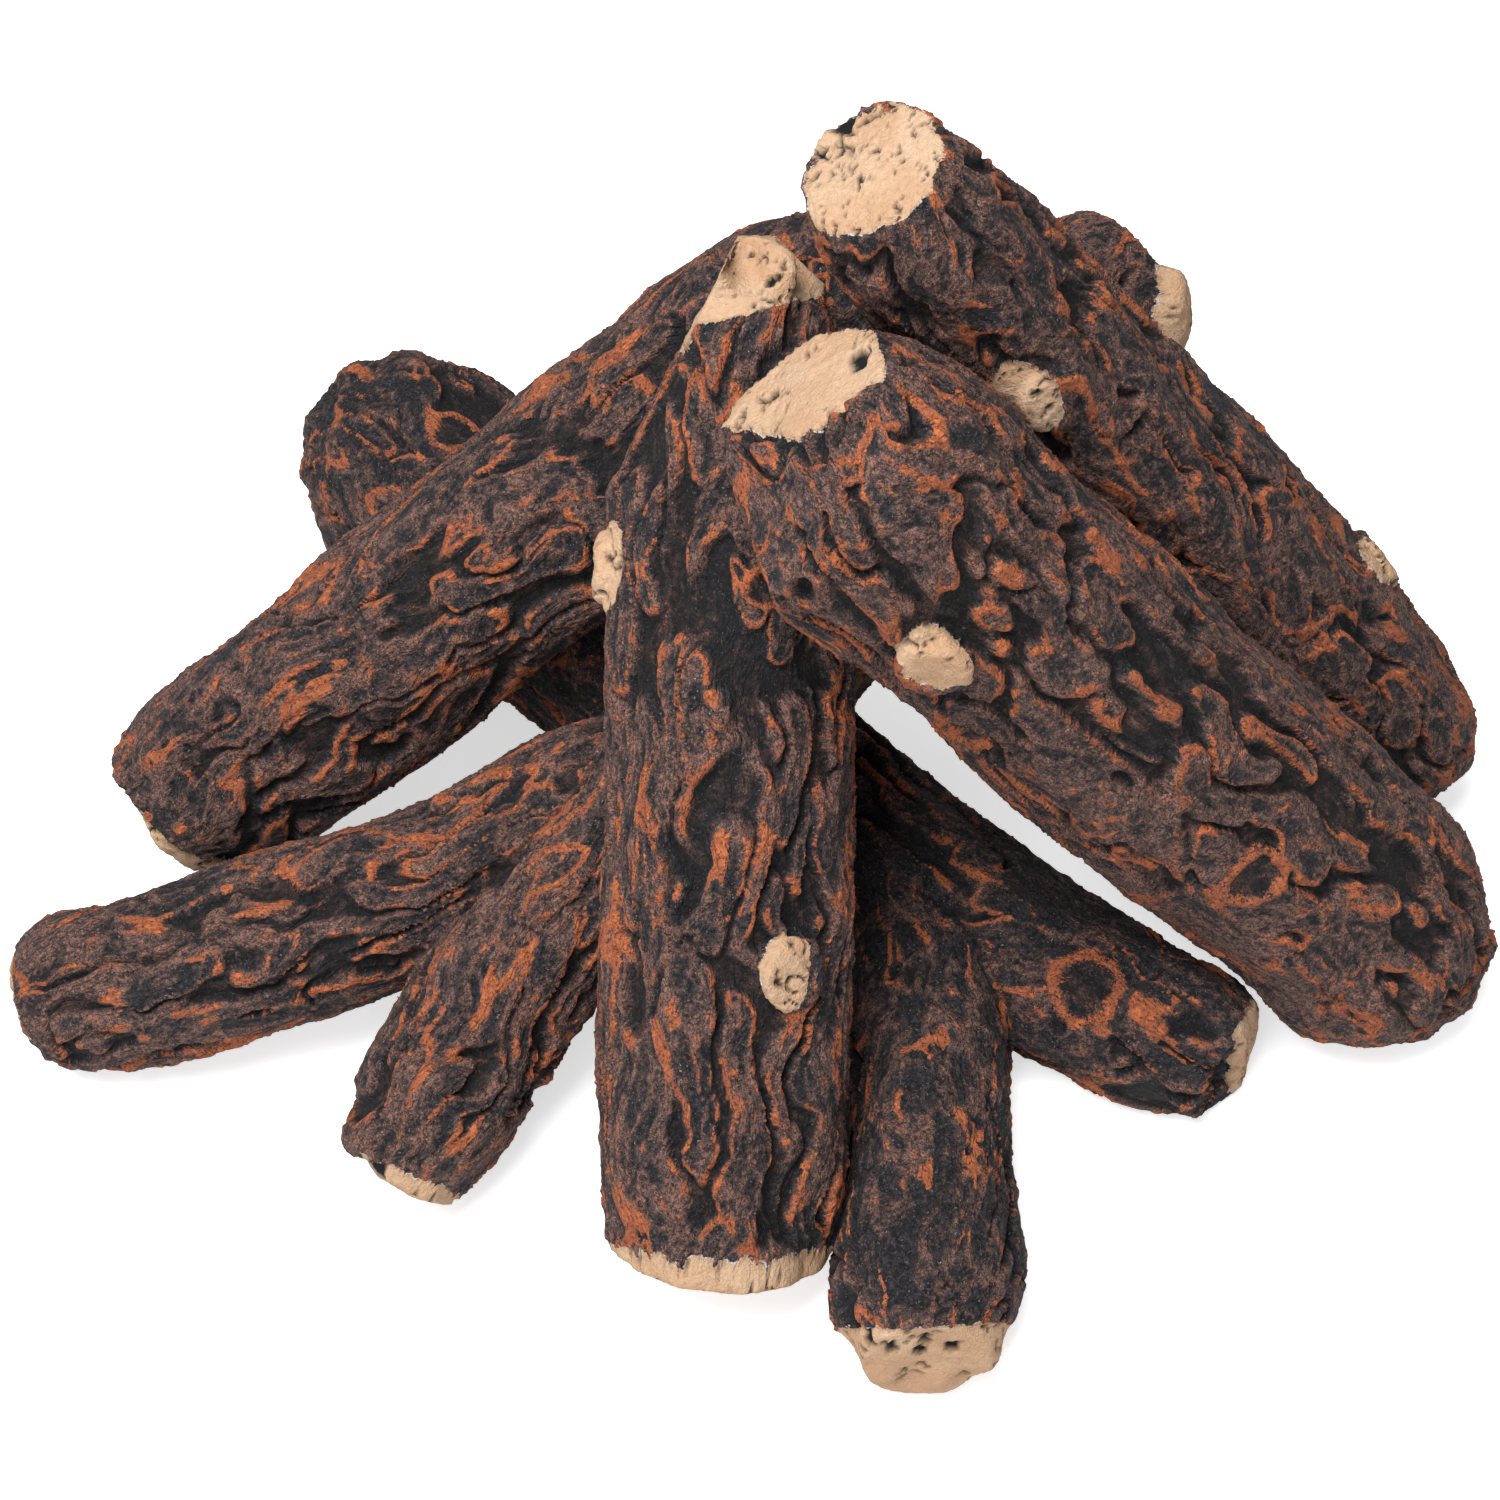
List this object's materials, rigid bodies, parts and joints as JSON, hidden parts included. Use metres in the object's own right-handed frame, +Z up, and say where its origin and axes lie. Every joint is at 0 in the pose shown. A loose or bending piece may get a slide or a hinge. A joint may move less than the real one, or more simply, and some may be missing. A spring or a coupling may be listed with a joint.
{
  "type": "ceramic gas log set",
  "caption": "Stack of loose ceramic gas logs with bark skin: two forked base logs lie crossed on the hearth and straight logs lean on them in a pile.",
  "frame": {"origin": "on the hearth, under the crossing of the two forked logs, on the flat underside of the right forked log", "axes": "+X to the right of the pile seen from its front, along its longest extent, +Y to the back, +Z up"},
  "size_m": [0.5127, 0.423, 0.3344],
  "materials": {
    "bark": "matte refractory ceramic painted charcoal black and rust brown, with bare cream ends and knots"
  },
  "bodies": {
    "right_forked_log": {"right_forked_log": "bark"},
    "left_forked_log": {"left_forked_log": "bark"},
    "left_log": {"left_log": "bark"},
    "front_log": {"front_log": "bark"},
    "right_log": {"right_log": "bark"},
    "back_log": {"back_log": "bark"}
  },
  "joints": [
    {"name": "left_forked_log_lift", "type": "slide", "parent": "right_forked_log", "child": "left_forked_log", "axis": [0, 0, 1], "range_m": [0, 0.12]},
    {"name": "left_log_lift", "type": "slide", "parent": "left_forked_log", "child": "left_log", "axis": [0, 0, 1], "range_m": [0, 0.12]},
    {"name": "front_log_lift", "type": "slide", "parent": "left_log", "child": "front_log", "axis": [0, 0, 1], "range_m": [0, 0.12]},
    {"name": "right_log_lift", "type": "slide", "parent": "front_log", "child": "right_log", "axis": [0, 0, 1], "range_m": [0, 0.12]},
    {"name": "back_log_lift", "type": "slide", "parent": "right_log", "child": "back_log", "axis": [0, 0, 1], "range_m": [0, 0.12]}
  ]
}
